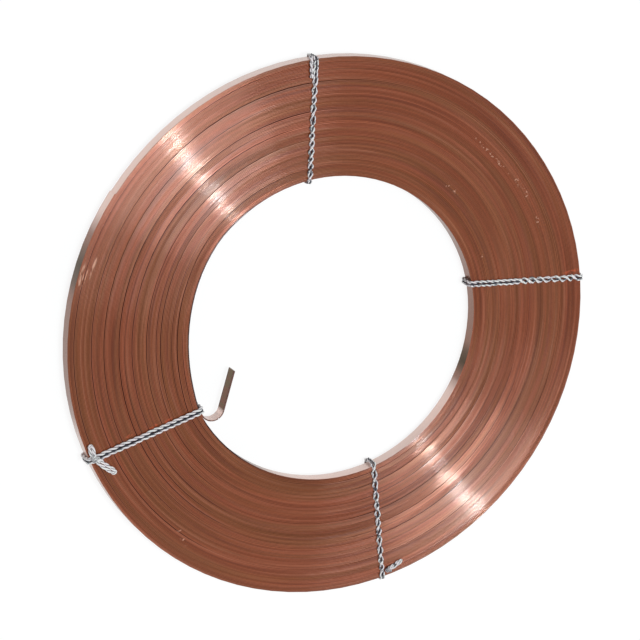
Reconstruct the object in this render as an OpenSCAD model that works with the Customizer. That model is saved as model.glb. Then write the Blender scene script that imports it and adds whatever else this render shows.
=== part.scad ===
// Pancake coil of flat enamelled copper wire, held by four tied cords.
// It lies flat with the coil's axis on +Z. The origin is on that axis, on the floor under the cords.

/* [Wire] */
// Width of the flat wire, which stands on edge and is the coil's height
wire_width = 14; // [8:0.5:20]
// Thickness of the flat wire
wire_thick = 1.25; // [0.9:0.05:2.5]
// Rounding of the wire's edges, cut as a bevel
edge_bevel = 0.35; // [0.1:0.05:0.4]

/* [Coil] */
// Diameter of the coil's eye
eye_d = 300; // [220:5:400]
// Whole turns wound on one another
turns = 92; // [20:1:110]
// Furthest that a turn stands out of line with the others, up or down
stagger = 0.2; // [0.05:0.05:0.5]
// Angle round the axis at which the wire leaves the eye's wall
inner_end_azimuth = 4.7; // [4.5:0.1:20]
// Angle round the axis at which the outermost wire is cut off
outer_end_azimuth = -59.5; // [-75:0.5:-30]

/* [Inner end] */
// Radius of the hook that the inner end is bent to, at the middle of the wire
hook_r = 11.7; // [5:0.1:15]
// Angle that the hook turns through
hook_turn = 135; // [90:1:150]
// Length of the straight wire after the hook
tail_length = 40; // [15:1:55]

/* [Ties] */
// Width of one cord, of which two lie side by side in each tie
cord_width = 3.6; // [2:0.1:5]
// Thickness of a cord, drawn tight and pressed flat underneath
cord_thick = 3.2; // [2:0.1:4]
// Angle round the axis of each tie, at the middle of the wound band
tie_azimuths = [0, 80, 163.5, 251.5]; // [0:0.5:359]
// Angle of each tie to the coil's radius
tie_leans = [-6, -9, -10, -8.5]; // [-15:0.5:15]
// Number of knots on the upper side of each tie
tie_knots = [1, 1, 0, 0]; // [0:1:1]
// Diameter of a knot
knot_d = 9; // [7:0.5:12]
// Distance of a knot's middle from the coil's outer wall, inwards
knot_inset = 5; // [3:0.5:20]
// Length of each knot's loose end on the clockwise side, seen from above
ends_clockwise = [12, 0, 0, 0]; // [0:1:30]
// Length of each knot's loose end on the other side
ends_anticlockwise = [24, 16, 0, 0]; // [0:1:30]
// Angle of a loose end to its tie, turned from the tie's outer end
end_angle = 110; // [60:5:130]
// Length of the cord tucked beside each tie, from the coil's outer wall inwards
tucks = [0, 0, 0, 17]; // [0:1:40]
// Gap between a cord and the nearest wire under it
tie_gap = 0.1; // [0.05:0.05:0.3]

/* [Hidden] */

$fn = 96;
arc_steps = 8;
copper = [0.53, 0.31, 0.23];
cotton = [0.86, 0.85, 0.84];

eye_r = eye_d / 2;
wound_r = eye_r + turns * wire_thick;
band_r = (eye_r + wound_r) / 2;
groove = stagger + edge_bevel;

// Heights from the floor upwards
seat = tie_gap + stagger;
coil_low = cord_thick + seat;
coil_top = coil_low + wire_width;
cord_on_top = coil_top + seat;
tie_top = cord_on_top + cord_thick;

// Inner faces of a tie's loop. It is one wire wider where the last part of a turn runs under it.
loop_in_r = eye_r - tie_gap;
function past_outer_end(azimuth) = (azimuth - outer_end_azimuth + 360) % 360;
function covered(azimuth) = past_outer_end(azimuth) < inner_end_azimuth - outer_end_azimuth;
function loop_out_r(azimuth) = wound_r + (covered(azimuth) ? wire_thick : 0) + tie_gap;
loop_corner = 0.75 * cord_thick;

// How far turn k stands above or below the middle of all turns, as winding by hand leaves it
function rise(k) = stagger * (sin(47 * k) + sin(131 * k + 40)) / 2;

// Outline of the turns' ends at height flat, three points to a turn: the groove before it, then its two edges.
// Side is 1 for the upper ends and -1 for the lower.
function turn_ends(flat, side) = [
    for (k = [0 : turns - 1])
    let (r = eye_r + k * wire_thick, z = flat + rise(k))
    each [
        [r, flat - side * groove],
        [r + edge_bevel, z],
        [r + wire_thick - edge_bevel, z]
    ]
];

function reversed(list) = [for (i = [len(list) - 1 : -1 : 0]) list[i]];

// Points of an arc from one angle to another
function arc(middle, r, from, to) = [
    for (i = [0 : arc_steps])
    let (a = from + (to - from) * i / arc_steps)
    middle + r * [cos(a), sin(a)]
];

// Section of one wire on edge, with its inner side at r
module wire_section(r) {
    polygon([
        [r, coil_low + edge_bevel],
        [r + edge_bevel, coil_low],
        [r + wire_thick - edge_bevel, coil_low],
        [r + wire_thick, coil_low + edge_bevel],
        [r + wire_thick, coil_top - edge_bevel],
        [r + wire_thick - edge_bevel, coil_top],
        [r + edge_bevel, coil_top],
        [r, coil_top - edge_bevel]
    ]);
}

// The wound turns, as one turned body with a groove between each two
module wound_turns() {
    rotate_extrude()
    polygon(concat(
        turn_ends(coil_low, -1),
        [[wound_r, coil_low + groove], [wound_r, coil_top - groove]],
        reversed(turn_ends(coil_top, 1))
    ));
}

// The part of a turn that is left over outside, up to the wire's cut end
module outer_end() {
    rotate([0, 0, outer_end_azimuth])
    rotate_extrude(angle = inner_end_azimuth - outer_end_azimuth)
    wire_section(wound_r - edge_bevel / 2);
}

// The inner end: a hook bent away from the eye's wall, then a straight tail
module inner_end() {
    bend_in = hook_r - wire_thick / 2;
    rotate([0, 0, inner_end_azimuth])
    translate([eye_r - bend_in, 0, 0])
    rotate([0, 0, hook_turn]) {
        rotate_extrude(angle = -hook_turn)
        wire_section(bend_in);
        rotate([90, 0, 0])
        mirror([0, 0, 1])
        linear_extrude(tail_length)
        wire_section(bend_in);
    }
}

module wire_coil() {
    color(copper) {
        wound_turns();
        outer_end();
        inner_end();
    }
}

// Section of a loop drawn round the wound band. It stands taller than the cord, whose own top is round.
module loop_section(out_r) {
    near = loop_in_r - cord_thick + loop_corner;
    far = out_r + cord_thick - loop_corner;
    high = tie_top + cord_thick / 2 - loop_corner;
    difference() {
        polygon(concat(
            arc([far, loop_corner], loop_corner, -90, 0),
            arc([far, high], loop_corner, 0, 90),
            arc([near, high], loop_corner, 90, 180),
            arc([near, loop_corner], loop_corner, 180, 270)
        ));
        translate([loop_in_r, cord_thick])
        square([out_r - loop_in_r, cord_on_top - cord_thick]);
    }
}

// Section across the two cords of a tie, round on top and carried below the floor
module cord_pair_section() {
    r = cord_width / 2;
    polygon(concat(
        [[-cord_width, -cord_thick], [cord_width, -cord_thick]],
        arc([r, tie_top - r], r, 0, 180),
        arc([-r, tie_top - r], r, 0, 180)
    ));
}

// Section across the cord tucked beside a tie, a little into its neighbour
module tucked_section() {
    r = cord_width / 2;
    middle = 1.4 * cord_width;
    polygon(concat(
        [[middle - r, -cord_thick], [middle + r, -cord_thick]],
        arc([middle, tie_top - r], r, 0, 180)
    ));
}

// Loose end of a cord, lying on the coil from the middle of its knot to its cut tip
module loose_end(length) {
    r = cord_width / 2;
    trim = r / 3;
    translate([0, 0, cord_on_top + r])
    rotate([0, 90, 0])
    rotate_extrude()
    polygon([[0, 0], [r, 0], [r, length - trim], [r - trim, length], [0, length]]);
}

// Knot with a flat underside, at its middle on the tie's line
module knot() {
    intersection() {
        translate([0, 0, cord_on_top + cord_thick / 2])
        sphere(d = knot_d);
        translate([-knot_d, -knot_d, cord_on_top])
        cube(2 * knot_d);
    }
}

// Puts its children on the line of tie i, with x outwards along the tie from the middle of the band
module on_tie(i) {
    rotate([0, 0, tie_azimuths[i]])
    translate([band_r, 0, 0])
    rotate([0, 0, tie_leans[i]])
    children();
}

// The part of a section's run along tie i, from one x to another, that lies in the tie's loop
module drawn_round(i, from, to) {
    intersection() {
        rotate([0, 0, tie_azimuths[i] + 180])
        rotate_extrude()
        loop_section(loop_out_r(tie_azimuths[i]));
        on_tie(i)
        translate([from, 0, 0])
        rotate([90, 0, 90])
        linear_extrude(to - from)
        children();
    }
}

// One tie: a loop of two cords round the wound band, a tucked cord beside it, and its knot with loose ends
module tie(i) {
    wall = wound_r - band_r;
    reach = 1.2 * wall + 2 * cord_thick;
    color(cotton) {
        drawn_round(i, -reach, reach) cord_pair_section();
        if (tucks[i] > 0)
            drawn_round(i, wall - tucks[i], reach) tucked_section();
        for (k = [1 : 1 : tie_knots[i]])
            on_tie(i)
            translate([wall - knot_inset, 0, 0]) {
                knot();
                if (ends_clockwise[i] > 0)
                    rotate([0, 0, -end_angle]) loose_end(ends_clockwise[i]);
                if (ends_anticlockwise[i] > 0)
                    rotate([0, 0, end_angle]) loose_end(ends_anticlockwise[i]);
            }
    }
}

wire_coil();
tie(0);  // tie_1
tie(1);  // tie_2
tie(2);  // tie_3
tie(3);  // tie_4
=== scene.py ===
import math

import bpy
import numpy as np
from mathutils import Matrix, Vector, noise


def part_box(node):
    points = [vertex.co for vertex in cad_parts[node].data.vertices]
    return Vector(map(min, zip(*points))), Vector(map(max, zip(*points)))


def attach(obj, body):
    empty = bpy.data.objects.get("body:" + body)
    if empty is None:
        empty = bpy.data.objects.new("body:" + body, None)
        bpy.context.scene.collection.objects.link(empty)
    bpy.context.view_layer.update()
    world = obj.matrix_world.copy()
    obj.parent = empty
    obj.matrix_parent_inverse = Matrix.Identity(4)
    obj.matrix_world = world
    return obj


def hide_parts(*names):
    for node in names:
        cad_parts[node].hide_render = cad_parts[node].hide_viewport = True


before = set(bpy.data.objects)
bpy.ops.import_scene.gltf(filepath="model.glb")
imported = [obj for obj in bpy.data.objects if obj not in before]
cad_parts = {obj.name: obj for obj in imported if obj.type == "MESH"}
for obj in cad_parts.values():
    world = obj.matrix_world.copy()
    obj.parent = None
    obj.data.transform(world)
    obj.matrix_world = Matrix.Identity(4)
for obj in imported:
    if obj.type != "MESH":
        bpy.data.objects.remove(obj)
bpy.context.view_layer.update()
COIL_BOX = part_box("wire_coil")

bl_info = {
    "name": "Pancake coil of flat copper wire",
    "version": (1, 0, 0),
    "blender": (4, 5, 0),
    "location": "3D View > Sidebar > Wire Coil",
    "description": "Winds a flat enamelled copper wire into a pancake coil and ties it with twisted cord",
    "category": "Object",
}

MM = 0.001
UP = Vector((0.0, 0.0, 1.0))
# Rings of a swept mesh that close its ends. They come first, the last point's before the first point's.
CAPS = 2

# How far the solid's turns stand out of line, and the heights of the wire's edges without that, in metres
STAGGER = 0.2 * MM
COIL_LOW = COIL_BOX[0][2] + STAGGER
COIL_TOP = COIL_BOX[1][2] - STAGGER
COIL_MIDDLE = (COIL_LOW + COIL_TOP) / 2.0
HALF_HEIGHT = (COIL_TOP - COIL_LOW) / 2.0

# The four ties as the solids have them: angle round the axis and lean to the radius, in degrees.
# Size is how thick the strands are against the first tie's. Specked is how thickly the cord is covered in
# dark specks, from 0 to 1.
# Twist is the stretch of the upper run in which the two strands are laid round each other,
# as shares of the run from its outer end. Beside is the length of a strand tucked beside the tie,
# and its distance from the tie's middle line.
TIES = (
    {"name": "tie_1", "azimuth": 0.0, "lean": -6.0, "size": 1.0, "specked": 0.25, "twist": None},
    {"name": "tie_2", "azimuth": 80.0, "lean": -9.0, "size": 0.74, "specked": 1.0, "twist": (0.0, 1.0)},
    {"name": "tie_3", "azimuth": 163.5, "lean": -10.0, "size": 0.86, "specked": 0.8, "twist": (0.0, 0.55)},
    {
        "name": "tie_4", "azimuth": 251.5, "lean": -8.5, "size": 0.74, "specked": 1.0, "twist": (0.14, 1.0),
        "beside": (17.0 * MM, 4.8 * MM),
    },
)

# Knots, as radius in millimetres and angle in degrees, and the loose ends that leave them,
# each as the places it passes and ends at
KNOTS = {
    "tie_1": {"at": (260.5, -1.6), "ends": (((261.2, -2.8), (260.0, -3.9)), ((257.0, 0.6), (250.0, 3.5)))},
    "tie_2": {"at": (259.0, 79.7), "ends": (((257.5, 81.2), (256.0, 82.9)),)},
}


# Settings

def length_prop(name, text, value):
    """A length in metres, for the panel."""
    return bpy.props.FloatProperty(
        name=name, description=text, default=value, subtype="DISTANCE", unit="LENGTH"
    )


def angle_prop(name, text, degrees):
    """An angle, given in degrees and kept in radians."""
    return bpy.props.FloatProperty(
        name=name, description=text, default=math.radians(degrees), subtype="ANGLE", unit="ROTATION"
    )


def power_prop(name, text, watts):
    """The power of a lamp in watts."""
    return bpy.props.FloatProperty(
        name=name, description=text, default=watts, subtype="POWER", unit="POWER"
    )


def colour_prop(name, text, value):
    """A plain colour."""
    return bpy.props.FloatVectorProperty(
        name=name, description=text, default=value, subtype="COLOR", size=3, min=0.0, max=1.0
    )


class WireCoilSettings(bpy.types.PropertyGroup):
    """Sizes and colours of the wound wire."""

    pitch: length_prop("Pitch", "From turn to turn inside a tight band of turns", 1.197 * MM)
    thickness: length_prop("Wire thickness", "Thickness of the wire", 1.188 * MM)
    edge_radius: length_prop("Edge radius", "Bevel between the wire's upper edge and its sides", 0.15 * MM)
    crown: length_prop("Crown", "Height of the wire's upper edge over its corners", 0.06 * MM)
    eye_radius: length_prop("Eye radius", "Radius of the coil's eye", 150.0 * MM)
    turns: bpy.props.FloatProperty(name="Turns", description="Turns from end to end", default=92.18)
    inner_end: angle_prop("Inner end", "Angle at which the wire leaves the eye's wall", 4.7)
    hook_radius: length_prop("Hook radius", "Radius of the bend at the inner end", 11.7 * MM)
    hook_turn: angle_prop("Hook turn", "Angle that the bend turns through", 135.0)
    tail_length: length_prop("Tail length", "Straight wire after the bend", 40.0 * MM)
    red_copper: colour_prop("Red copper", "Redder turns", (0.375, 0.092, 0.036))
    brown_copper: colour_prop("Brown copper", "Browner turns", (0.32, 0.095, 0.0325))
    # Paler lines along some turns are painted highlights, where their edges catch the light
    highlight_line: colour_prop("Pale line", "Lines along the turns, rubbed bright", (0.52, 0.18, 0.095))
    dark_line: colour_prop("Dark line", "Lines along the turns, duller", (0.19, 0.041, 0.021))
    # Painted shade on the copper in the gaps between turns
    groove_shade: colour_prop("Groove", "Copper between two turns", (0.17, 0.038, 0.018))
    eye_line: colour_prop("Eye line", "Shaded edge of the innermost turn", (0.07, 0.02, 0.015))
    # The broad sides' colours are painted reflections: pale and pink where they mirror bright surroundings,
    # brown and dark where they mirror dull ones
    pale_side_reflection: colour_prop("Pale side", "Broad sides of the wire in the light", (0.95, 0.72, 0.64))
    pink_side_reflection: colour_prop("Pink side", "Broad sides of the wire, redder stretches", (0.92, 0.63, 0.54))
    brown_side_reflection: colour_prop("Brown side", "Broad sides of the wire, browner stretches", (0.26, 0.105, 0.06))
    dark_side_reflection: colour_prop("Dark side", "Broad sides of the wire, dullest stretches", (0.055, 0.03, 0.008))
    tail_brown: colour_prop("Tail brown", "Straight end of the wire", (0.14, 0.042, 0.014))
    tail_olive: colour_prop("Tail olive", "Straight end, yellower stretches", (0.10, 0.055, 0.015))
    scuff: colour_prop("Scuff", "Rubbed specks", (0.78, 0.42, 0.29))
    # Painted glints of light on the turns beside the cords
    warm_glint: colour_prop("Warm mark", "Bare specks beside the cords", (0.62, 0.13, 0.05))


class TieSettings(bpy.types.PropertyGroup):
    """Sizes and colours of the cord ties."""

    ply_radius: length_prop("Ply radius", "Radius of one ply of a strand", 0.95 * MM)
    ply_offset: length_prop("Ply offset", "Distance of a ply from its strand's middle", 0.85 * MM)
    ply_pitch: length_prop("Ply pitch", "Length of one turn of the plies", 14.0 * MM)
    lay_pitch: length_prop("Lay pitch", "Length of one turn of two strands round each other", 17.0 * MM)
    cotton: colour_prop("Cotton", "Clean cord", (0.97, 0.96, 0.94))
    pink_cotton: colour_prop("Pink cotton", "Clean cord, warmer stretches", (0.95, 0.88, 0.90))
    # Colour of the painted shade in the cord's creases and knots, and of its dark specks
    darkening: colour_prop("Soil", "Cord in its creases", (0.05, 0.05, 0.07))


class StageSettings(bpy.types.PropertyGroup):
    """Camera and lamps."""

    view_azimuth: angle_prop("View azimuth", "Angle round the axis at which the camera stands", -61.5)
    view_elevation: angle_prop("View elevation", "Height of the camera over the floor", 62.34)
    view_roll: angle_prop("View roll", "Turn of the camera about its own line of sight", 124.5)
    view_distance: length_prop("View distance", "From the coil's upper face to the camera", 3.5845)
    lens: bpy.props.FloatProperty(
        name="Lens", description="Focal length", default=211.0, subtype="DISTANCE_CAMERA", unit="CAMERA"
    )
    lamp_azimuth: angle_prop("Lamp azimuth", "Angle round the axis at which the lamps hang", 172.0)
    lamp_elevation: angle_prop("Lamp elevation", "Height of the lamps over the floor", 83.0)
    lamp_distance: length_prop("Lamp distance", "From the coil to the lamps", 6.0)
    lamp_size: length_prop("Lamp size", "Diameter of the key lamp", 0.02)
    lamp_power: power_prop("Lamp power", "Power of the key lamp", 54.0)
    lamp_colour: colour_prop("Lamp colour", "Cool white of the key lamp", (0.64, 0.90, 1.0))
    box_size: length_prop("Soft box size", "Diameter of the soft light round the lamp", 1.9)
    box_power: power_prop("Soft box power", "Power of the soft light", 86.0)
    screen_size: length_prop("Screen size", "Diameter of the softest light, round the soft box", 3.4)
    screen_power: power_prop("Screen power", "Power of the softest light", 60.0)


# Places, lines and meshes

def heading(azimuth, elevation):
    """Unit vector towards an azimuth and elevation."""
    flat = math.cos(elevation)
    return Vector((flat * math.cos(azimuth), flat * math.sin(azimuth), math.sin(elevation)))


def polar(radius, degrees, height):
    """A place on the coil from its radius in millimetres, angle and height."""
    a = math.radians(degrees)
    return Vector((radius * MM * math.cos(a), radius * MM * math.sin(a), height))


def smooth_step(x):
    """Rises from 0 to 1 with level ends."""
    x = min(max(x, 0.0), 1.0)
    return x * x * (3.0 - 2.0 * x)


def smooth_rise(values, low, high):
    """Rises from 0 to 1 between two values, for a row of numbers."""
    share = np.clip((values - low) / (high - low), 0.0, 1.0)
    return share * share * (3.0 - 2.0 * share)


def deselect():
    """Leaves nothing selected, in object mode."""
    if bpy.context.mode != "OBJECT":
        bpy.ops.object.mode_set(mode="OBJECT")
    bpy.ops.object.select_all(action="DESELECT")


def add_path(name, points, closed=False):
    """Adds a curve through the points, as a poly line."""
    deselect()
    bpy.ops.curve.primitive_nurbs_path_add(location=(0.0, 0.0, 0.0))
    path = bpy.context.object
    path.name = name
    path.data.splines.clear()
    spline = path.data.splines.new("POLY")
    spline.points.add(len(points) - 1)
    spline.points.foreach_set("co", [c for p in points for c in (p[0], p[1], p[2], 1.0)])
    spline.use_cyclic_u = closed
    spline.use_smooth = True
    path.data.dimensions = "3D"
    path.data.twist_mode = "Z_UP"
    return path


def to_mesh(path):
    """Makes a curve a mesh and returns its object."""
    deselect()
    bpy.context.view_layer.objects.active = path
    path.select_set(True)
    bpy.ops.object.convert(target="MESH")
    return bpy.context.object


def ring_numbers(piece, points, sides, closed=False):
    """Which point of its path each vertex of a swept mesh stands at."""
    numbers = np.arange(len(piece.data.vertices)) // sides
    if closed:
        return numbers
    numbers -= CAPS
    return np.where(numbers == -CAPS, len(points) - 1, np.maximum(numbers, 0))


def places(piece):
    """The places of a mesh's vertices, one row each."""
    return np.array([v.co for v in piece.data.vertices])


def keep_values(piece, name, values):
    """Keeps a value on each point of a mesh, for its material to read."""
    kept = piece.data.attributes.new(name, "FLOAT", "POINT")
    kept.data.foreach_set("value", np.asarray(values, np.float32))


def dress(piece, material, node):
    """Gives a finished piece its material and its place in the frame."""
    piece.data.materials.clear()
    piece.data.materials.append(material)
    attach(piece, "root")
    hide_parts(node)


# Shader helpers

# Depth of a mark on the coil's upper face, and the share of it that is whole before it fades out
PATCH_DEPTH = 10.0 * MM
PATCH_WHOLE = 0.5
# Detail of the noise in the shared grain
GRAIN_DETAIL = 2.0


class Graph:
    """The nodes of a material or a group, with short ways to add the common ones."""

    def __init__(self, tree):
        self.nodes = tree.nodes
        self.links = tree.links

    def feed(self, socket, value):
        """Links a socket to another, or sets its own value."""
        if isinstance(value, bpy.types.NodeSocket):
            self.links.new(value, socket)
        elif socket.type == "RGBA":
            socket.default_value = (*value, 1.0)
        else:
            socket.default_value = value

    def maths(self, operation, *values):
        """A Math node on numbers or sockets."""
        node = self.nodes.new("ShaderNodeMath")
        node.operation = operation
        for socket, value in zip(node.inputs, values):
            self.feed(socket, value)
        return node.outputs[0]

    def ramp(self, value, low, high, to_low=0.0, to_high=1.0):
        """Maps a value smoothly from one range to another."""
        node = self.nodes.new("ShaderNodeMapRange")
        node.interpolation_type = "SMOOTHSTEP"
        limits = {"Value": value, "From Min": low, "From Max": high, "To Min": to_low, "To Max": to_high}
        for name, limit in limits.items():
            self.feed(node.inputs[name], limit)
        return node.outputs["Result"]

    def mixed(self, factor, first, second, blend="MIX"):
        """Mixes two colours."""
        node = self.nodes.new("ShaderNodeMix")
        node.data_type = "RGBA"
        node.blend_type = blend
        self.feed(node.inputs["Factor"], factor)
        for name, value in (("A", first), ("B", second)):
            self.feed(next(s for s in node.inputs if s.name == name and s.type == "RGBA"), value)
        return next(s for s in node.outputs if s.type == "RGBA")

    def cloud(self, vector, scale, detail):
        """A noise pattern read at a place, or along a value."""
        node = self.nodes.new("ShaderNodeTexNoise")
        along_value = vector.type == "VALUE"
        node.noise_dimensions = "1D" if along_value else "3D"
        self.feed(node.inputs["W" if along_value else "Vector"], vector)
        self.feed(node.inputs["Scale"], scale)
        self.feed(node.inputs["Detail"], detail)
        return node.outputs["Fac"]

    def attribute(self, name):
        """A value that is kept on the mesh's points."""
        node = self.nodes.new("ShaderNodeAttribute")
        node.attribute_name = name
        return node.outputs["Fac"]

    def place(self):
        """The place on the object."""
        return self.nodes.new("ShaderNodeTexCoord").outputs["Object"]

    def place_parts(self):
        """The place on the object as its x, y and z."""
        split = self.nodes.new("ShaderNodeSeparateXYZ")
        self.feed(split.inputs[0], self.place())
        return split.outputs

    def along_turns(self, along, across, detail):
        """A noise pattern that runs round the coil: slow along the turns, quick across them."""
        x, y, _ = self.place_parts()
        square = self.maths("ADD", self.maths("MULTIPLY", x, x), self.maths("MULTIPLY", y, y))
        radius = self.maths("SQRT", square)
        joined = self.nodes.new("ShaderNodeCombineXYZ")
        self.feed(joined.inputs[0], self.maths("MULTIPLY", self.maths("DIVIDE", x, radius), along))
        self.feed(joined.inputs[1], self.maths("MULTIPLY", self.maths("DIVIDE", y, radius), along))
        self.feed(joined.inputs[2], self.maths("MULTIPLY", radius, across))
        return self.cloud(joined.outputs[0], 1.0, detail)

    def patch(self, radius, degrees, half_length, half_width):
        """A mask over an oval of the coil's upper face, long along the wire. Sizes are in millimetres."""
        oval = self.nodes.new("ShaderNodeMapping")
        oval.vector_type = "TEXTURE"
        self.feed(oval.inputs["Vector"], self.place())
        oval.inputs["Location"].default_value = polar(radius, degrees, COIL_TOP)
        oval.inputs["Rotation"].default_value = (0.0, 0.0, math.radians(degrees))
        oval.inputs["Scale"].default_value = (half_width * MM, half_length * MM, PATCH_DEPTH)
        away = self.nodes.new("ShaderNodeVectorMath")
        away.operation = "LENGTH"
        self.feed(away.inputs[0], oval.outputs[0])
        return self.ramp(away.outputs["Value"], PATCH_WHOLE, 1.0, 1.0, 0.0)

    def patches(self, rows):
        """A mask over any of several ovals."""
        masks = [self.patch(*row) for row in rows]
        whole = masks[0]
        for mask in masks[1:]:
            whole = self.maths("MAXIMUM", whole, mask)
        return whole

    def grain(self, scale):
        """The shared fine grain, at a scale of its own."""
        node = self.nodes.new("ShaderNodeGroup")
        node.node_tree = bpy.data.node_groups.get("grain") or grain_group()
        node.inputs["Scale"].default_value = scale
        return node.outputs["Value"]

    def bumped(self, shader, height, strength, distance):
        """Gives a shader a bump of a height."""
        bump = self.nodes.new("ShaderNodeBump")
        bump.inputs["Strength"].default_value = strength
        bump.inputs["Distance"].default_value = distance
        self.feed(bump.inputs["Height"], height)
        self.feed(shader.inputs["Normal"], bump.outputs[0])


def grain_group():
    """Fine speckle over a surface, which the copper and the cord share."""
    tree = bpy.data.node_groups.new("grain", "ShaderNodeTree")
    tree.interface.new_socket("Scale", in_out="INPUT", socket_type="NodeSocketFloat")
    tree.interface.new_socket("Value", in_out="OUTPUT", socket_type="NodeSocketFloat")
    graph = Graph(tree)
    given = tree.nodes.new("NodeGroupInput")
    speckle = graph.cloud(graph.place(), given.outputs["Scale"], GRAIN_DETAIL)
    graph.feed(tree.nodes.new("NodeGroupOutput").inputs["Value"], speckle)
    return tree


def new_material(name):
    """A material with its nodes and its shader."""
    material = bpy.data.materials.new(name)
    material.use_nodes = True
    shader = next(n for n in material.node_tree.nodes if n.type == "BSDF_PRINCIPLED")
    return material, Graph(material.node_tree), shader


# Copper

# Marks on the upper face: radius in millimetres, angle in degrees,
# half length along the wire and half width across it in millimetres
SCUFFS = (
    (260.5, -41.5, 16.0, 4.5),
    (253.2, -43.6, 14.0, 1.8),
)
TRAILS = (
    (228.0, -161.0, 34.0, 2.2),
    (232.5, -172.5, 17.0, 4.6),
    (233.2, 177.2, 9.0, 2.4),
    (177.6, -158.2, 12.0, 3.4),
    (167.3, 175.8, 2.5, 1.8),
    (240.6, 25.5, 4.0, 2.4),
    (245.5, 27.5, 4.0, 2.4),
    (250.6, 29.5, 4.0, 2.4),
)
# Painted glints of light on the turns beside the cords, in the same columns as above
WARM_GLINTS = (
    (257.0, 163.0, 2.2, 11.0),
    (196.0, -1.1, 1.8, 6.0),
    (181.0, -0.5, 1.8, 6.0),
    (221.0, -2.0, 1.6, 5.0),
)

# Patterns along the turns: scale round the coil, scale across the turns per metre, and detail of the noise
BAND_PATTERN = (0.9, 130.0, 2.0)
LINE_PATTERN = (1.3, 300.0, 1.0)
FINE_PATTERN = (1.6, 620.0, 1.0)
STREAK_PATTERN = (2.5, 0.0, 3.0)
STROKE_PATTERN = (28.0, 700.0, 1.0)
DRAWN_PATTERN = (5.0, 1500.0, 2.0)
SHINE_PATTERN = (1.1, 380.0, 1.0)
# Patterns along the wire's length: scale per metre, and detail of the noise
DRIFT_PATTERN = (2.2, 2.0)
TAIL_PATTERN = (110.0, 3.0)
# Scales of the grain per metre
TONE_GRAIN = 900.0
SPECK_GRAIN = 430.0
DASH_GRAIN = 420.0
DRAWN_GRAIN = 1300.0

# How a pattern shows: the two of its values between which the effect changes, and the effect at each
BROWN_TURNS = (0.35, 0.65, 0.0, 1.0)
HIGHLIGHT_LINES = (0.56, 0.72, 0.0, 0.4)
DARK_LINES = (0.44, 0.28, 0.0, 0.42)
FINE_TONE = (0.3, 0.7, 0.92, 1.06)
SLOW_TONE = (0.3, 0.7, 0.92, 1.08)
# The next four shape the painted reflections on the wire's broad sides
PINK_BY_HEIGHT = (COIL_LOW, COIL_TOP, 0.0, 0.5)
PINK_STREAKS = (0.3, 0.7, 0.0, 0.5)
BROWN_REFLECTION_WALL = (0.0, 0.5, 0.0, 1.0)
DARK_REFLECTION_WALL = (0.5, 1.0, 0.0, 1.0)
OLIVE_TAIL = (0.4, 0.6, 0.0, 1.0)
SHADED_TAIL_EDGE = (0.5 * HALF_HEIGHT, HALF_HEIGHT, 0.0, 0.8)
SCUFF_STROKES = (0.42, 0.66, 0.0, 1.0)
TRAIL_SPECKS = (0.55, 0.66, 0.0, 1.0)
GLINT_DASHES = (0.4, 0.55, 0.0, 1.0)
COPPER_ROUGHNESS = (0.3, 0.7, 0.15, 0.17)
COPPER_SHINE = (0.32, 0.68, 0.12, 0.42)

# Length over which the straight end's brown passes into the coil's colour
TAIL_FADE = 2.0 * MM
# Roughness that a scuff adds, and the drawn lines' relief, with the share of grain in it
SCUFF_ROUGHNESS = 0.3
GRAIN_HEIGHT = 0.02
DRAWN_STRENGTH = 0.25
DRAWN_HEIGHT = 0.05 * MM
# Plain values of the copper's shader
ENAMEL = {"IOR": 1.5, "Specular IOR Level": 1.0, "Anisotropic": 1.0, "Anisotropic Rotation": 0.25}


def face_colour(graph, settings, drift):
    """Colour of the turns' ends: bands of redder and browner turns, with painted highlight lines and dark
    lines along them.
    """
    bands = graph.along_turns(*BAND_PATTERN)
    lines = graph.along_turns(*LINE_PATTERN)
    fine = graph.along_turns(*FINE_PATTERN)
    tint = graph.mixed(graph.ramp(bands, *BROWN_TURNS), settings.red_copper, settings.brown_copper)
    # Painted highlight lines along some turns
    tint = graph.mixed(graph.ramp(lines, *HIGHLIGHT_LINES), tint, settings.highlight_line)
    tint = graph.mixed(graph.ramp(lines, *DARK_LINES), tint, settings.dark_line)
    tone = graph.maths("MULTIPLY", graph.ramp(fine, *FINE_TONE), graph.ramp(drift, *SLOW_TONE))
    tone = graph.maths("MULTIPLY", tone, graph.ramp(graph.grain(TONE_GRAIN), *SLOW_TONE))
    return graph.mixed(1.0, tint, tone, "MULTIPLY")


def side_colour(graph, settings, run):
    """Colour of the wire's broad sides, painted with reflections of pale and dark surroundings and brown on
    the straight end, and how metallic they are.
    """
    _, _, height = graph.place_parts()
    dark_reflection = graph.attribute("dark_reflection")
    pink = graph.ramp(graph.along_turns(*STREAK_PATTERN), *PINK_STREAKS)
    pink = graph.maths("ADD", graph.ramp(height, *PINK_BY_HEIGHT), pink)
    side = graph.mixed(pink, settings.pale_side_reflection, settings.pink_side_reflection)
    side = graph.mixed(graph.ramp(dark_reflection, *BROWN_REFLECTION_WALL), side, settings.brown_side_reflection)
    side = graph.mixed(graph.ramp(dark_reflection, *DARK_REFLECTION_WALL), side, settings.dark_side_reflection)
    olive = graph.ramp(graph.cloud(run, *TAIL_PATTERN), *OLIVE_TAIL)
    brown = graph.mixed(olive, settings.tail_brown, settings.tail_olive)
    from_middle = graph.maths("ABSOLUTE", graph.maths("SUBTRACT", height, COIL_MIDDLE))
    # Painted shade along the straight end's upper and lower edges
    brown = graph.mixed(graph.ramp(from_middle, *SHADED_TAIL_EDGE), brown, settings.eye_line)
    past_tail = graph.ramp(run, settings.tail_length - TAIL_FADE, settings.tail_length + TAIL_FADE)
    side = graph.mixed(past_tail, brown, side)
    metal_share = graph.maths("MAXIMUM", dark_reflection, graph.maths("SUBTRACT", 1.0, past_tail))
    # The broad sides of the turns between the ends lie in the gaps and take the painted groove shade
    return graph.mixed(graph.attribute("wall"), settings.groove_shade, side), metal_share


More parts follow.
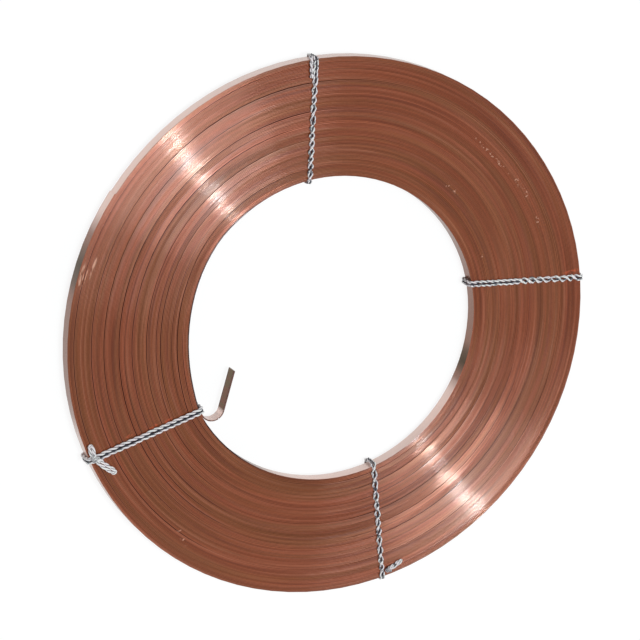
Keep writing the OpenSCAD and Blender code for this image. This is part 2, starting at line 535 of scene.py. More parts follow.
def copper_material(settings):
    """Enamelled copper, brushed along the wire, with each band of turns a little different."""
    material, graph, shader = new_material("enamelled_copper")
    run = graph.attribute("run")
    drift = graph.cloud(run, *DRIFT_PATTERN)
    edge = graph.attribute("edge")
    side, metal_share = side_colour(graph, settings, run)
    colour = graph.mixed(edge, side, face_colour(graph, settings, drift))
    # Painted shade in the open grooves between bands of turns
    colour = graph.mixed(graph.attribute("groove"), colour, settings.groove_shade)
    colour = graph.mixed(graph.attribute("shade"), colour, settings.eye_line)
    strokes = graph.ramp(graph.along_turns(*STROKE_PATTERN), *SCUFF_STROKES)
    scuffs = graph.maths("MULTIPLY", graph.patches(SCUFFS), strokes)
    specks = graph.ramp(graph.grain(SPECK_GRAIN), *TRAIL_SPECKS)
    scuffs = graph.maths("MAXIMUM", scuffs, graph.maths("MULTIPLY", graph.patches(TRAILS), specks))
    colour = graph.mixed(scuffs, colour, settings.scuff)
    # Painted glints beside the cords, broken into dashes
    dashes = graph.ramp(graph.grain(DASH_GRAIN), *GLINT_DASHES)
    glints = graph.maths("MULTIPLY", graph.patches(WARM_GLINTS), dashes)
    graph.feed(shader.inputs["Base Color"], graph.mixed(glints, colour, settings.warm_glint))
    rubbed = graph.maths("MULTIPLY", scuffs, SCUFF_ROUGHNESS)
    rough = graph.maths("ADD", graph.ramp(drift, *COPPER_ROUGHNESS), rubbed)
    graph.feed(shader.inputs["Roughness"], rough)
    grain = graph.maths("MULTIPLY", graph.grain(DRAWN_GRAIN), GRAIN_HEIGHT)
    height = graph.maths("ADD", graph.along_turns(*DRAWN_PATTERN), grain)
    graph.bumped(shader, height, DRAWN_STRENGTH, DRAWN_HEIGHT)
    # Metallic is full on the broad sides where the painted dark reflection lies, and on the straight end
    metal_share = graph.maths("MULTIPLY", metal_share, graph.maths("SUBTRACT", 1.0, edge))
    shine = graph.ramp(graph.along_turns(*SHINE_PATTERN), *COPPER_SHINE)
    graph.feed(shader.inputs["Metallic"], graph.maths("MAXIMUM", shine, metal_share))
    for name, value in ENAMEL.items():
        shader.inputs[name].default_value = value
    tangent = graph.nodes.new("ShaderNodeTangent")
    tangent.direction_type = "RADIAL"
    tangent.axis = "Z"
    graph.feed(shader.inputs["Tangent"], tangent.outputs[0])
    return material


# The wound wire

STEPS_PER_TURN = 90
HOOK_STEPS = 14
TAIL_STEPS = 8

# Where one tight band of turns ends and the next begins: turns from the inner end,
# width of the gap there in millimetres, and height of the band that begins there in millimetres
BANDS = (
    (4.0, 0.28, 0.10),
    (8.4, 0.30, -0.10),
    (12.9, 0.32, 0.15),
    (20.4, 0.28, -0.15),
    (23.3, 0.30, 0.05),
    (30.3, 0.32, -0.12),
    (36.3, 0.30, 0.14),
    (41.3, 0.50, -0.05),
    (47.0, 0.32, 0.12),
    (51.5, 0.42, -0.14),
    (55.9, 0.32, 0.08),
    (63.8, 0.32, -0.08),
    (73.6, 0.55, 0.12),
    (87.6, 0.32, -0.05),
)
# Turns over which one band passes into the next
BAND_CHANGE = 0.2

# The innermost turns spring into the eye beside the inner end: over this angle, this far,
# fading out between these two turns, and furthest towards the start of the angle
LOOSE_SPAN = math.radians(66.0)
LOOSE_REACH = 4.6 * MM
LOOSE_TURNS = (0.5, 40.0)
LOOSE_SKEW = 0.75

# Unevenness of the winding, each as how far it goes and how quickly it changes round the coil
UNEVEN_GAP = (0.8, 1.2)
OUT_OF_ROUND = (0.5 * MM, 1.5)
BAND_WAVE = (0.2 * MM, 4.0)
TURN_WAVE = (0.10 * MM, 2.0)
BAND_LEAN = (0.42, 0.9)
TURN_LEAN = (0.18, 1.8)
# Where in the noise each is read, and the steps from one turn and one band to the next
BAND_WAVE_AT = Vector((0.0, 20.0, 0.0))
TURN_WAVE_AT = Vector((0.0, 9.0, 0.0))
TURN_LEAN_AT = Vector((3.0, 0.0, 0.0))
NEXT_TURN = 1.7
NEXT_BAND = 7.3

# Where round the coil the bands stand apart, as angle of the middle and reach to either side in degrees,
# and the share of a gap that shows elsewhere
GROOVES_OPEN = ((-35.0, 80.0), (104.0, 40.0))
GROOVE_LEFT = 0.3
# How far a side of the wire moves into the gap beside it, as a share of the gap, at depths below its edge
# that count the wire's bevel and crown as 1
GROOVE_DEPTHS = (0.0, 0.45, 1.0, 20.0)
GROOVE_SHARES = (0.0, 0.06, 0.38, 0.56)
# Share at which the two sides of a narrow gap meet
GAP_SHUT = 0.5
# Widths of a gap between which its groove opens and takes painted shade, and the depth from which the shade
# is painted
GROOVE_OPENS = (0.19 * MM, 0.26 * MM)
GROOVE_SHADE_WIDTHS = (0.19 * MM, 0.34 * MM)
GROOVE_SHADE_FROM = 0.2

# How dark a reflection is painted on the eye's wall and the rim's wall round the coil, as angle in degrees
# and share
EYE_DARK_REFLECTION = (
    (-180, 0.6), (30, 0.3), (60, 0.0), (120, 0.0), (127, 0.15),
    (131, 0.5), (135, 1.0), (140, 0.9), (146, 0.5), (180, 0.6),
)
RIM_DARK_REFLECTION = (
    (-180, 0.4), (-110, 0.1), (-60, 0.0), (-54, 0.1), (-49, 0.5), (-45, 1.0),
    (-40, 0.9), (-35, 0.45), (-14, 0.5), (-6, 0.1), (10, 0.1), (180, 0.4),
)
# How dark the innermost turn is round the coil, and the edges of the bent end
EYE_SHADE = ((-95, 0.0), (-80, 1.0), (25, 1.0), (45, 0.0))
TAIL_SHADE = 0.7
# Turns at either end of the wire whose broad sides can be seen; the broad sides of the other turns take the
# painted groove shade
WALL_TURNS = 1.1
# Share of the bevel that counts as the wire's edge
EDGE_SHARE = 0.5


def loose_lap(u, azimuth):
    """How far the innermost turns spring into the eye beside the inner end."""
    share = -azimuth / LOOSE_SPAN
    if not 0.0 < share < 1.0:
        return 0.0
    held = 1.0 - smooth_step((u - LOOSE_TURNS[0]) / (LOOSE_TURNS[1] - LOOSE_TURNS[0]))
    return LOOSE_REACH * held * math.sin(math.pi * share**LOOSE_SKEW)


def band_noise(u, place):
    """Noise along the wire, u turns from the inner end, that is the same across a band of turns."""
    value = noise.noise(place)
    for number, (border, _, _) in enumerate(BANDS, start=1):
        share = smooth_step((u - border) / BAND_CHANGE)
        value += (noise.noise(place + UP * (NEXT_BAND * number)) - value) * share
    return value


def edge_lean(settings, u):
    """Slope of the wire's upper edge, across the coil, u turns from the inner end."""
    side = heading(settings.inner_end - 2.0 * math.pi * u, 0.0)
    band_slope, band_scale = BAND_LEAN
    turn_slope, turn_scale = TURN_LEAN
    turn = noise.noise(side * turn_scale + TURN_LEAN_AT + UP * (NEXT_TURN * u))
    return band_slope * band_noise(u, side * band_scale) + turn_slope * turn


def band_shift(u, side):
    """How far the bands before a place put it outwards and upwards, u turns from the inner end."""
    varies, scale = UNEVEN_GAP
    out, height = 0.0, 0.0
    for border, gap, level in BANDS:
        share = smooth_step((u - border) / BAND_CHANGE)
        out += gap * MM * share * (1.0 + varies * noise.noise(side * scale + UP * border))
        height += (level * MM - height) * share
    return out, height


def wound_point(settings, u):
    """A point on the middle of the wire, u turns from where it leaves the eye's wall."""
    azimuth = settings.inner_end - 2.0 * math.pi * u
    turned = (azimuth + math.pi) % (2.0 * math.pi) - math.pi
    side = heading(azimuth, 0.0)
    out, height = band_shift(u, side)
    uneven, scale = OUT_OF_ROUND
    radius = settings.eye_radius + settings.pitch * u + out + uneven * noise.noise(side * scale)
    wave, scale = BAND_WAVE
    height += wave * band_noise(u, side * scale + BAND_WAVE_AT)
    wave, scale = TURN_WAVE
    height += wave * noise.noise(side * scale + TURN_WAVE_AT + UP * (NEXT_TURN * u))
    point = side * (radius - loose_lap(u, turned))
    point.z = COIL_MIDDLE + height
    return point


def tail_points(settings):
    """The inner end, from its cut tip through the hook to the eye's wall."""
    out = heading(settings.inner_end, 0.0)
    middle = wound_point(settings, 0.0) - out * settings.hook_radius
    hook = []
    for i in range(HOOK_STEPS + 1):
        turn = Matrix.Rotation(settings.hook_turn * i / HOOK_STEPS, 3, "Z")
        hook.append(middle + turn @ (out * settings.hook_radius))
    away = (Matrix.Rotation(settings.hook_turn + math.pi / 2.0, 3, "Z") @ out) * settings.tail_length
    straight = [hook[-1] + away * (i / TAIL_STEPS) for i in range(1, TAIL_STEPS + 1)]
    return list(reversed(hook[1:] + straight))


def wire_section(settings):
    """Outline of the wire, crowned at its upper edge and bevelled at its lower."""
    side = settings.thickness / 2.0
    corner = side - settings.edge_radius
    low = settings.crown + settings.edge_radius
    right = [
        (side, HALF_HEIGHT - low),
        (corner, HALF_HEIGHT - settings.crown),
        (corner / 2.0, HALF_HEIGHT - settings.crown / 4.0),
    ]
    left = [(-x, y) for x, y in reversed(right)]
    lower = [
        (-side, low - HALF_HEIGHT),
        (low - side, -HALF_HEIGHT),
        (side - low, -HALF_HEIGHT),
        (side, low - HALF_HEIGHT),
    ]
    return [(x, y, 0.0) for x, y in reversed(right + [(0.0, HALF_HEIGHT)] + left + lower)]


def sweep_wire(points, section):
    """A mesh of the section carried along the points, closed at both ends."""
    profile = add_path("wire_section", section, closed=True)
    path = add_path("wound_wire", points)
    path.data.bevel_mode = "OBJECT"
    path.data.bevel_object = profile
    path.data.use_fill_caps = True
    wire = to_mesh(path)
    bpy.data.objects.remove(profile)
    return wire


def groove_share(azimuths):
    """Share of a gap between bands that shows at angles round the coil, in degrees."""
    opened = np.zeros(len(azimuths))
    for open_at, spread in GROOVES_OPEN:
        away = np.abs((azimuths - open_at + 180.0) % 360.0 - 180.0)
        opened = np.maximum(opened, 1.0 - smooth_rise(away, spread / 2.0, spread))
    return GROOVE_LEFT + (1.0 - GROOVE_LEFT) * opened


class WireMesh:
    """The swept wire, with what its shaping and its colours need to know of each vertex."""

    def __init__(self, settings):
        self.settings = settings
        tail = tail_points(settings)
        steps = int(settings.turns * STEPS_PER_TURN)
        points = tail + [wound_point(settings, i / STEPS_PER_TURN) for i in range(steps + 1)]
        section = wire_section(settings)
        self.piece = sweep_wire(points, section)
        self.points = np.array(points)
        self.first = len(tail)
        self.rings = ring_numbers(self.piece, points, len(section))
        self.place = places(self.piece)
        self.middles = self.points[self.rings]
        self.azimuths = np.degrees(np.arctan2(self.middles[:, 1], self.middles[:, 0]))
        self.turns = np.maximum(self.rings - self.first, 0) / STEPS_PER_TURN
        self.rise = self.place[:, 2] - self.middles[:, 2]
        self.radius = np.hypot(self.place[:, 0], self.place[:, 1])
        self.across = self.radius - np.hypot(self.middles[:, 0], self.middles[:, 1])

    def paint(self):
        """Keeps what the copper's colours depend on: length of wire, edges, and where painted dark reflection
        and painted shade lie.
        """
        settings = self.settings
        run = np.concatenate([[0.0], np.cumsum(np.linalg.norm(np.diff(self.points, axis=0), axis=1))])
        edge = np.abs(self.rise) > HALF_HEIGHT - settings.crown - EDGE_SHARE * settings.edge_radius
        tail_edge = edge & (self.rings < self.first)
        eye_wall = (self.turns < 1.0) & (self.rings > self.first)
        outer_half = self.turns > settings.turns / 2.0
        eye_reflection, rim_reflection, eye_shade = (
            np.interp(self.azimuths, *zip(*stops)) for stops in (EYE_DARK_REFLECTION, RIM_DARK_REFLECTION, EYE_SHADE)
        )
        keep_values(self.piece, "run", run[self.rings])
        keep_values(self.piece, "edge", edge)
        keep_values(self.piece, "shade", np.where(eye_wall, eye_shade, TAIL_SHADE * tail_edge))
        keep_values(self.piece, "dark_reflection", np.where(outer_half, rim_reflection, np.where(eye_wall, eye_reflection, 0.0)))
        walls = (self.turns < WALL_TURNS) | (self.turns > settings.turns - WALL_TURNS)
        keep_values(self.piece, "wall", walls)

    def gaps(self):
        """Width of the gap beside each vertex, to the next turn inwards or outwards."""
        first, lap = self.first, self.first + STEPS_PER_TURN
        radii = np.hypot(self.points[:, 0], self.points[:, 1])
        inner, outer = np.zeros((2, len(radii)))
        inner[lap:] = np.maximum(radii[lap:] - radii[first:-STEPS_PER_TURN] - self.settings.thickness, 0.0)
        outer[first:-STEPS_PER_TURN] = inner[lap:]
        return np.where(self.across > 0.0, outer[self.rings], inner[self.rings])

    def settle(self):
        """Leans each turn's upper edge, makes the gaps between bands grooves that are shut below, and keeps
        where shade is painted in the open grooves.
        """
        settings = self.settings
        leans = np.zeros(len(self.points))
        wound = range(len(leans) - self.first)
        leans[self.first:] = [-edge_lean(settings, i / STEPS_PER_TURN) for i in wound]
        self.place[:, 2] += np.where(self.rise > 0.0, leans[self.rings] * self.across, 0.0)
        gap = self.gaps()
        gap_seen = gap * groove_share(self.azimuths)
        depth = (HALF_HEIGHT - self.rise) / (settings.crown + settings.edge_radius)
        share = np.interp(depth, GROOVE_DEPTHS, GROOVE_SHARES)
        share += (GAP_SHUT - share) * (1.0 - smooth_rise(gap_seen, *GROOVE_OPENS))
        shift = np.sign(self.across) * share * gap
        self.place[:, :2] *= 1.0 + (shift / self.radius)[:, None]
        self.piece.data.vertices.foreach_set("co", self.place.ravel())
        # Painted shade lies on the deeper parts of the open grooves
        dark = np.where(depth > GROOVE_SHADE_FROM, smooth_rise(gap_seen, *GROOVE_SHADE_WIDTHS), 0.0)
        keep_values(self.piece, "groove", dark)


class COIL_OT_wind_wire(bpy.types.Operator):
    """Winds the wire from its bent inner end to its cut outer end"""

    bl_idname = "coil.wind_wire"
    bl_label = "Wind wire"

    def execute(self, context):
        settings = context.scene.wire_coil
        wire = WireMesh(settings)
        wire.paint()
        wire.settle()
        bpy.ops.object.shade_smooth()
        weighted = wire.piece.modifiers.new("face_weights", "WEIGHTED_NORMAL")
        weighted.keep_sharp = True
        bpy.ops.object.modifier_apply(modifier=weighted.name)
        dress(wire.piece, copper_material(settings), "wire_coil")
        return {"FINISHED"}


# Cord

# Scales of the cord's grain per metre, and how it shows, in the same form as for the copper
CORD_SPECK_GRAIN = 300.0
TINT_GRAIN = 120.0
FIBRE_GRAIN = 900.0
SHADED_CREASES = (0.25, 0.75, 0.0, 0.97)
DARK_SPECKS = (0.53, 0.62, 0.0, 0.9)
PINK_CORD = (0.4, 0.6, 0.0, 1.0)
CORD_ROUGHNESS = (0.3, 0.7, 0.75, 0.95)
FIBRE_STRENGTH = 0.4
FIBRE_HEIGHT = 0.3 * MM


def cord_material(settings):
    """White twisted cord, with painted shade where its plies meet and on its knots, and dark specks here and
    there elsewhere.
    """
    material, graph, shader = new_material("cotton_cord")
    specks = graph.ramp(graph.grain(CORD_SPECK_GRAIN), *DARK_SPECKS)
    specks = graph.maths("MULTIPLY", specks, graph.attribute("specked"))
    # Painted shade in the creases where plies meet, and dark specks
    dark = graph.maths("MAXIMUM", graph.ramp(graph.attribute("crease"), *SHADED_CREASES), specks)
    pink = graph.ramp(graph.grain(TINT_GRAIN), *PINK_CORD)
    clean = graph.mixed(pink, settings.cotton, settings.pink_cotton)
    graph.feed(shader.inputs["Base Color"], graph.mixed(dark, clean, settings.darkening))
    fibre = graph.grain(FIBRE_GRAIN)
    graph.feed(shader.inputs["Roughness"], graph.ramp(fibre, *CORD_ROUGHNESS))
    graph.bumped(shader, fibre, FIBRE_STRENGTH, FIBRE_HEIGHT)
    return material


# The cord ties

# Length of a step along a cord, and the bevel resolution of a ply
STEP = 1.0 * MM
PLY_ROUNDING = 2
# Smallest size by which a vector's is divided
NEAR_ZERO = 1e-12
# Radius at which a tie turns its corners, and the steps of such a turn
CORNER = 2.6 * MM
CORNER_STEPS = 8
# Turns by which the outside of the band stands past the middle of the last turn
OUTSIDE_TURNS = 0.3
# Room between a cord and the wire under it
CLEARANCE = 0.3 * MM
# How flat a strand is pressed under the coil, and the height of its middle there in radii of the strand
FLAT = 0.72
LOW_MIDDLE = 0.9
# Distance from a tie's outside to the start of its line, where a knot would lie
KNOT_INSET = 5.0 * MM

# How two strands lie round each other: how uneven the lay is and how quickly that changes, how far apart
# they are in the lay and how high they rise in it, in radii, and the turn from one's plies to the other's
UNEVEN_LAY = 0.5
LAY_CHANGE = 0.06
LAY_APART = 1.3
LAY_RISE = 0.62
STRAND_PHASE = 1.3
# How far a strand sways on the upper run, how quickly that changes, and the step from strand to strand
SWAY = 0.6 * MM
SWAY_CHANGE = 0.09
NEXT_STRAND = 5.0

# The strand beside a tie: where it starts past the tie's own start, how far it nears the tie,
# and the heights below the upper face at which it climbs the rim
BESIDE_START = 4.0 * MM
BESIDE_NEARS = 0.8 * MM
BESIDE_CLIMB = (6.0 * MM, 4.0 * MM, 2.0 * MM, 0.0)
BESIDE_STEPS = 40
BESIDE_PHASE = 0.4

# Knots and doubled ends: size and tallness of a knot, the painted shade over it, and, in radii of the strand,
# the heights of the knot's middle, an end's bend and its tip, and half the width of an end
KNOT_SCALE = 1.15 * MM
KNOT_TALL = 1.1
KNOT_SHADE = 0.5
KNOT_STEPS = 120
KNOT_HEIGHT = 2.2
BEND_HEIGHT = 2.0
TIP_HEIGHT = 1.25
END_HALF_WIDTH = 0.95
END_PHASE = 0.7
END_STEPS = 30
TIP_STEPS = 8
# An end's two runs are fully apart after one part in this many of its length
END_PARTS = 3.0


def even_line(points):
    """The same line through points, in whole steps of about STEP."""
    lengths = np.array([0.0] + [(b - a).length for a, b in zip(points, points[1:])])
    travel = np.cumsum(lengths)
    marks = np.linspace(0.0, travel[-1], max(round(travel[-1] / STEP), 2) + 1)
    columns = [np.interp(marks, travel, column) for column in np.array([tuple(p) for p in points]).T]
    return [Vector(row) for row in zip(*columns)]


def directions(points):
    """Which way a line runs at each of its points."""
    last = len(points) - 1
    return [(points[min(i + 1, last)] - points[max(i - 1, 0)]).normalized() for i in range(last + 1)]


def reach(radius, band_radius, lean):
    """Distance along a leaning line, from the middle of the wound band, to a radius."""
    return math.sqrt(radius**2 - (band_radius * math.sin(lean)) ** 2) - band_radius * math.cos(lean)


class TieRoute:
    """The middle line of a tie's loop, in the plane of the tie, and its place on the coil."""

    def __init__(self, tie, coil, ties):
        self.tie = tie
        self.azimuth = math.radians(tie["azimuth"])
        self.lean = math.radians(tie["lean"])
        self.strand_radius = (ties.ply_radius + ties.ply_offset) * tie["size"]
        gaps = sum(gap for _, gap, _ in BANDS) * MM
        outer = coil.eye_radius + coil.pitch * (coil.turns + OUTSIDE_TURNS) + gaps
        self.band = (coil.eye_radius + outer) / 2.0
        near = reach(coil.eye_radius - coil.pitch, self.band, self.lean) - self.strand_radius
        far = reach(outer, self.band, self.lean) + self.strand_radius
        top = COIL_TOP + self.strand_radius + CLEARANCE
        low = self.strand_radius * LOW_MIDDLE
        self.far = far
        self.start = far - KNOT_INSET - self.strand_radius
        self.run = self.start - near
        start = (self.start, top)
        self.line = self.rounded([start, (near, top), (near, low), (far, low), (far, top), start])

    def rounded(self, corners):
        """The line through the corners, with each corner turned on a small radius, at even steps."""
        line = [Vector(corners[0])]
        for before, corner, after in zip(corners, corners[1:], corners[2:]):
            p = Vector(corner)
            back = (Vector(before) - p).normalized()
            on = (Vector(after) - p).normalized()
            middle = p + (back + on) * CORNER
            for i in range(CORNER_STEPS + 1):
                a = math.pi / 2.0 * i / CORNER_STEPS
                line.append(middle - on * CORNER * math.cos(a) - back * CORNER * math.sin(a))
        line.append(Vector(corners[-1]))
        return even_line(line)[:-1]

    def place(self, x, y, z):
        """A point of the tie's own frame, x along it and y across it, on the coil."""
        along = heading(self.azimuth + self.lean, 0.0)
        across = UP.cross(along)
        return heading(self.azimuth, 0.0) * self.band + along * x + across * y + UP * z


def tube(name, middles, radius, closed=False):
    """A round tube along points, as a mesh."""
    path = add_path(name, middles, closed)
    path.data.twist_mode = "MINIMUM"
    path.data.bevel_depth = radius
    path.data.bevel_resolution = PLY_ROUNDING
    path.data.use_fill_caps = True
    return to_mesh(path)


def facing(vectors, others):
    """How squarely two rows of vectors point the same way, from 0 to 1."""
    sizes = np.linalg.norm(vectors, axis=1) * np.linalg.norm(others, axis=1)
    return np.clip((vectors * others).sum(axis=1) / np.maximum(sizes, NEAR_ZERO), 0.0, 1.0)


def twisted_strand(
    name, middles, acrosses, outs, flats, settings, phase, size=1.0, partners=None, darkening=0.0
):
    """Two plies laid round a strand's middle line, as two meshes that know their creases."""
    closed = partners is not None
    offset = settings.ply_offset * size
    turns = round(len(middles) * STEP / (settings.ply_pitch * size))
    plies = []
    for ply in range(2):
        points = []
        for i, middle in enumerate(middles):
            turn = 2.0 * math.pi * turns * i / len(middles) + phase + math.pi * ply
            across = acrosses[i] * (offset * math.cos(turn))
            out = outs[i] * (offset * math.sin(turn) * flats[i])
            points.append(middle + across + out)
        piece = tube(f"{name}_ply_{ply}", points, settings.ply_radius * size, closed)
        sides = len(piece.data.vertices) // (len(points) + (0 if closed else CAPS))
        ring = ring_numbers(piece, points, sides, closed)
        place = places(piece)
        own, core = np.array(points)[ring], np.array(middles)[ring]
        crease = facing(place - own, core - own)
        if closed:
            crease = np.maximum(crease, facing(place - core, np.array(partners)[ring] - core))
        # Painted shade follows the crease value, with the knot's painted shade as its least
        keep_values(piece, "crease", np.maximum(crease, darkening))
        plies.append(piece)
    return plies


def free_strand(name, points, settings, phase, size=1.0, darkening=0.0):
    """A strand along any line of points."""
    points = even_line(points)
    alongs = directions(points)
    acrosses = [along.cross(UP).normalized() for along in alongs]
    outs = [across.cross(along) for across, along in zip(acrosses, alongs)]
    flats = [1.0] * len(points)
    return twisted_strand(name, points, acrosses, outs, flats, settings, phase, size, darkening=darkening)


def join(name, pieces):
    """Joins meshes into one piece."""
    deselect()
    for piece in pieces:
        piece.select_set(True)
    bpy.context.view_layer.objects.active = pieces[0]
    bpy.ops.object.join()
    whole = bpy.context.object
    whole.name = name
    whole.data.name = name
    return whole


def lay_angles(route, settings):
    """How far a tie's two strands have turned round each other at each point, with whole turns at the end."""
    twist = route.tie["twist"]
    angle = 0.0
    angles = []
    for i in range(len(route.line)):
        share = i * STEP / route.run
        if twist and twist[0] <= share <= twist[1]:
            uneven = 1.0 + UNEVEN_LAY * noise.noise(Vector((LAY_CHANGE * i, route.azimuth, 0.0)))
            angle += 2.0 * math.pi * STEP / settings.lay_pitch * uneven
        angles.append(angle)
    if not twist:
        return angles
    whole = round(angle / (2.0 * math.pi)) * 2.0 * math.pi
    return [a * (whole / angle) for a in angles]


def strand_offset(route, angles, i, strand):
    """How far a strand's middle lies across the tie and out from its line, at a point of the line."""
    turn = angles[i] + math.pi * strand
    lift = abs(math.sin(angles[i]))
    in_lay = 0.0 < angles[i] < angles[-1]
    across = route.strand_radius * (LAY_APART if in_lay else 1.0) * math.cos(turn)
    if route.line[i].y > COIL_TOP:
        across += SWAY * noise.noise(Vector((SWAY_CHANGE * i, route.azimuth, NEXT_STRAND * strand)))
    return across, LAY_RISE * route.strand_radius * (math.sin(turn) + lift)


def tie_strands(route, settings):
    """The two strands of a tie, laid side by side or round each other."""
    points = [route.place(p.x, 0.0, p.y) for p in route.line]
    side = (route.place(0.0, 1.0, 0.0) - route.place(0.0, 0.0, 0.0)).normalized()
    acrosses = [side] * len(points)
    outs = [along.cross(side).normalized() for along in directions(points)]
    flats = [FLAT if p.y < COIL_LOW else 1.0 for p in route.line]
    angles = lay_angles(route, settings)
    strands = []
    for strand in range(2):
        middles = []
        for i, point in enumerate(points):
            across, out = strand_offset(route, angles, i, strand)
            middles.append(point + side * across + outs[i] * out)
        strands.append(middles)
    pieces = []
    for number, (middles, partners) in enumerate(zip(strands, reversed(strands))):
        pieces += twisted_strand(
            f"strand_{number}", middles, acrosses, outs, flats, settings,
            STRAND_PHASE * number, route.tie["size"], partners,
        )
    return pieces


def strand_beside(route, settings):
    """A short strand beside a tie's upper run, from the rim to a cut end."""
    length, offset = route.tie["beside"]
    height = COIL_TOP + settings.ply_radius + settings.ply_offset + CLEARANCE
    line = [route.place(route.far, offset, COIL_TOP - below) for below in BESIDE_CLIMB]
    for i in range(BESIDE_STEPS + 1):
        share = i / BESIDE_STEPS
        along = route.start + BESIDE_START - length * share
        line.append(route.place(along, offset - BESIDE_NEARS * share, height))
    return free_strand("beside", line, settings, BESIDE_PHASE)


def bight(start, by, tip, half_width):
    """A line out to a tip and back beside itself, as a doubled end of cord."""
    out, back = [], []
    across = (tip - start).cross(UP).normalized() * half_width
    for i in range(END_STEPS + 1):
        t = i / END_STEPS
        middle = start * (1.0 - t) ** 2 + by * (2.0 * t * (1.0 - t)) + tip * t**2
        out.append(middle + across * smooth_step(END_PARTS * t))
        back.append(middle - across * smooth_step(END_PARTS * t))
    along = (tip - by).normalized() * half_width
    turns = [math.pi * i / TIP_STEPS for i in range(1, TIP_STEPS)]
    round_tip = [tip + across * math.cos(a) + along * math.sin(a) for a in turns]
    return out + round_tip + list(reversed(back))


def knot_line(middle, out, scale):
    """The line of an overhand knot: a trefoil that lies flat, with its two ends met."""
    side = UP.cross(out)
    line = []
    for i in range(KNOT_STEPS + 1):
        t = 2.0 * math.pi * i / KNOT_STEPS
        x = math.sin(t) + 2.0 * math.sin(2.0 * t)
        y = math.cos(t) - 2.0 * math.cos(2.0 * t)
        z = -KNOT_TALL * math.sin(3.0 * t)
        line.append(middle + (out * x + side * y + UP * z) * scale)
    return line


def knot_pieces(route, settings):
    """An overhand knot on the tie and the doubled ends that leave it."""
    knot = KNOTS[route.tie["name"]]
    size, radius = route.tie["size"], route.strand_radius
    middle = polar(*knot["at"], COIL_TOP + KNOT_HEIGHT * radius)
    out = heading(math.radians(knot["at"][1]), 0.0)
    line = knot_line(middle, out, KNOT_SCALE * size)
    pieces = free_strand("knot", line, settings, 0.0, size, KNOT_SHADE)
    for number, (by, to) in enumerate(knot["ends"]):
        bend = polar(*by, COIL_TOP + BEND_HEIGHT * radius)
        tip = polar(*to, COIL_TOP + TIP_HEIGHT * radius)
        end = bight(middle, bend, tip, END_HALF_WIDTH * radius)
        pieces += free_strand(f"end_{number}", end, settings, END_PHASE * number, size)
    return pieces


class COIL_OT_tie_cords(bpy.types.Operator):
    """Ties the coil with its four twisted cords"""

    bl_idname = "coil.tie_cords"
    bl_label = "Tie cords"

    def execute(self, context):
        scene = context.scene
        material = cord_material(scene.coil_ties)
        for tie in TIES:
            route = TieRoute(tie, scene.wire_coil, scene.coil_ties)
            pieces = tie_strands(route, scene.coil_ties)
            if "beside" in tie:
                pieces += strand_beside(route, scene.coil_ties)
            if tie["name"] in KNOTS:
                pieces += knot_pieces(route, scene.coil_ties)
            whole = join(f"{tie['name']}_cord", pieces)
            keep_values(whole, "specked", np.full(len(whole.data.vertices), tie["specked"]))
            bpy.ops.object.shade_smooth()
            dress(whole, material, tie["name"])
        return {"FINISHED"}


# Stage

# Width of the photo and the place of the coil's axis in it, in pixels
IMAGE = 640
CENTRE_PX = (330.95, 328.89)
# Width of the camera's sensor in millimetres, and how far it sees in metres
SENSOR = 36.0
VIEW_END = 100.0
# The floor's side in metres, its finish, and the share and strength of the glow that makes it white
FLOOR_SIDE = 60.0
FLOOR_WHITE = (0.9, 0.9, 0.9)
FLOOR_ROUGHNESS = 0.9
FLOOR_GLOW_SHARE = 0.82
FLOOR_GLOW = 1.06
WORLD_WHITE = (1.0, 1.0, 1.0)
WORLD_STRENGTH = 0.38


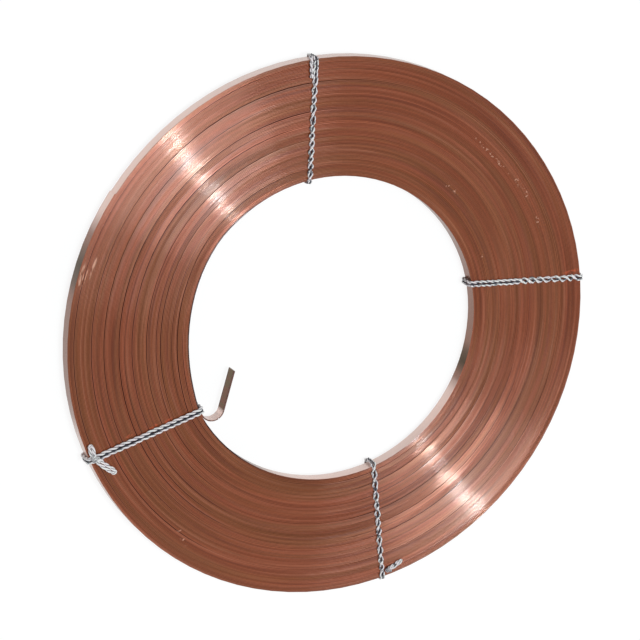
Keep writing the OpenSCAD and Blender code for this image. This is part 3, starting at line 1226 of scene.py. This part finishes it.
class COIL_OT_set_stage(bpy.types.Operator):
    """Sets the floor, the world, the lamps and the camera"""

    bl_idname = "coil.set_stage"
    bl_label = "Set stage"

    def execute(self, context):
        scene = context.scene
        settings = scene.coil_stage
        self.floor()
        self.world(scene)
        key = self.lamp("key_lamp", settings, settings.lamp_size, settings.lamp_power)
        key.data.color = settings.lamp_colour
        self.lamp("soft_box", settings, settings.box_size, settings.box_power)
        self.lamp("screen", settings, settings.screen_size, settings.screen_power)
        self.camera(scene, settings)
        scene.view_settings.view_transform = "Standard"
        return {"FINISHED"}

    def floor(self):
        """A wide white floor, which glows where it is seen, so that it ends in no edge."""
        deselect()
        bpy.ops.mesh.primitive_plane_add(size=FLOOR_SIDE, location=(0.0, 0.0, 0.0))
        floor = bpy.context.object
        floor.name = "floor"
        material, graph, shader = new_material("white_floor")
        graph.feed(shader.inputs["Base Color"], FLOOR_WHITE)
        graph.feed(shader.inputs["Roughness"], FLOOR_ROUGHNESS)
        graph.feed(shader.inputs["Specular IOR Level"], 0.0)
        rays = graph.nodes.new("ShaderNodeLightPath")
        seen = graph.maths("ADD", rays.outputs["Is Camera Ray"], rays.outputs["Is Glossy Ray"])
        seen = graph.maths("ADD", seen, rays.outputs["Is Transmission Ray"])
        share = graph.maths("MULTIPLY", graph.maths("MINIMUM", seen, 1.0), FLOOR_GLOW_SHARE)
        glow = graph.nodes.new("ShaderNodeEmission")
        graph.feed(glow.inputs["Strength"], FLOOR_GLOW)
        mix = graph.nodes.new("ShaderNodeMixShader")
        graph.feed(mix.inputs[0], share)
        graph.feed(mix.inputs[1], shader.outputs[0])
        graph.feed(mix.inputs[2], glow.outputs[0])
        out = next(n for n in graph.nodes if n.type == "OUTPUT_MATERIAL")
        graph.feed(out.inputs["Surface"], mix.outputs[0])
        floor.data.materials.append(material)

    def world(self, scene):
        """Even white light from all round."""
        world = bpy.data.worlds.new("soft_studio")
        world.use_nodes = True
        scene.world = world
        back = next(n for n in world.node_tree.nodes if n.type == "BACKGROUND")
        back.inputs["Color"].default_value = (*WORLD_WHITE, 1.0)
        back.inputs["Strength"].default_value = WORLD_STRENGTH

    def lamp(self, name, settings, size, power):
        """A round lamp of a size, turned to the coil."""
        towards = heading(settings.lamp_azimuth, settings.lamp_elevation)
        deselect()
        bpy.ops.object.light_add(type="AREA", location=towards * settings.lamp_distance)
        lamp = bpy.context.object
        lamp.name = name
        lamp.data.shape = "DISK"
        lamp.data.size = size
        lamp.data.energy = power
        lamp.rotation_euler = towards.to_track_quat("Z", "Y").to_euler()
        return lamp

    def camera(self, scene, settings):
        """The camera, placed and shifted so that the coil lies in the picture as in the photo."""
        towards = heading(settings.view_azimuth, settings.view_elevation)
        right = Vector((-math.sin(settings.view_azimuth), math.cos(settings.view_azimuth), 0.0))
        up = towards.cross(right)
        c, s = math.cos(settings.view_roll), math.sin(settings.view_roll)
        turned_right, turned_up = right * c + up * s, up * c - right * s
        deselect()
        bpy.ops.object.camera_add(location=(0.0, 0.0, 0.0))
        camera = bpy.context.object
        place = UP * COIL_TOP + towards * settings.view_distance
        axes = Matrix((turned_right, turned_up, towards)).transposed()
        camera.matrix_world = Matrix.Translation(place) @ axes.to_4x4()
        camera.data.lens = settings.lens
        camera.data.sensor_width = SENSOR
        camera.data.shift_x = (IMAGE / 2.0 - CENTRE_PX[0]) / IMAGE
        camera.data.shift_y = (CENTRE_PX[1] - IMAGE / 2.0) / IMAGE
        camera.data.clip_end = VIEW_END
        scene.camera = camera


# The add-on

GROUPS = (
    ("wire_coil", "coil.wind_wire"),
    ("coil_ties", "coil.tie_cords"),
    ("coil_stage", "coil.set_stage"),
)


class COIL_PT_sidebar(bpy.types.Panel):
    """Lists the coil's settings and steps"""

    bl_idname = "COIL_PT_sidebar"
    bl_label = "Wire Coil"
    bl_space_type = "VIEW_3D"
    bl_region_type = "UI"
    bl_category = "Wire Coil"

    def draw(self, context):
        for group, step in GROUPS:
            box = self.layout.box()
            settings = getattr(context.scene, group)
            for name in settings.__annotations__:
                box.prop(settings, name)
            box.operator(step)


CLASSES = (
    WireCoilSettings,
    TieSettings,
    StageSettings,
    COIL_OT_wind_wire,
    COIL_OT_tie_cords,
    COIL_OT_set_stage,
    COIL_PT_sidebar,
)


def register():
    """Adds the classes and their settings to Blender."""
    for cls in CLASSES:
        bpy.utils.register_class(cls)
    bpy.types.Scene.wire_coil = bpy.props.PointerProperty(type=WireCoilSettings)
    bpy.types.Scene.coil_ties = bpy.props.PointerProperty(type=TieSettings)
    bpy.types.Scene.coil_stage = bpy.props.PointerProperty(type=StageSettings)


def unregister():
    """Takes the settings and classes out again."""
    del bpy.types.Scene.coil_stage
    del bpy.types.Scene.coil_ties
    del bpy.types.Scene.wire_coil
    for cls in reversed(CLASSES):
        bpy.utils.unregister_class(cls)


def main():
    """Makes the coil, its ties and the stage."""
    register()
    bpy.ops.coil.set_stage()
    bpy.ops.coil.wind_wire()
    bpy.ops.coil.tie_cords()


if __name__ == "__main__":
    main()
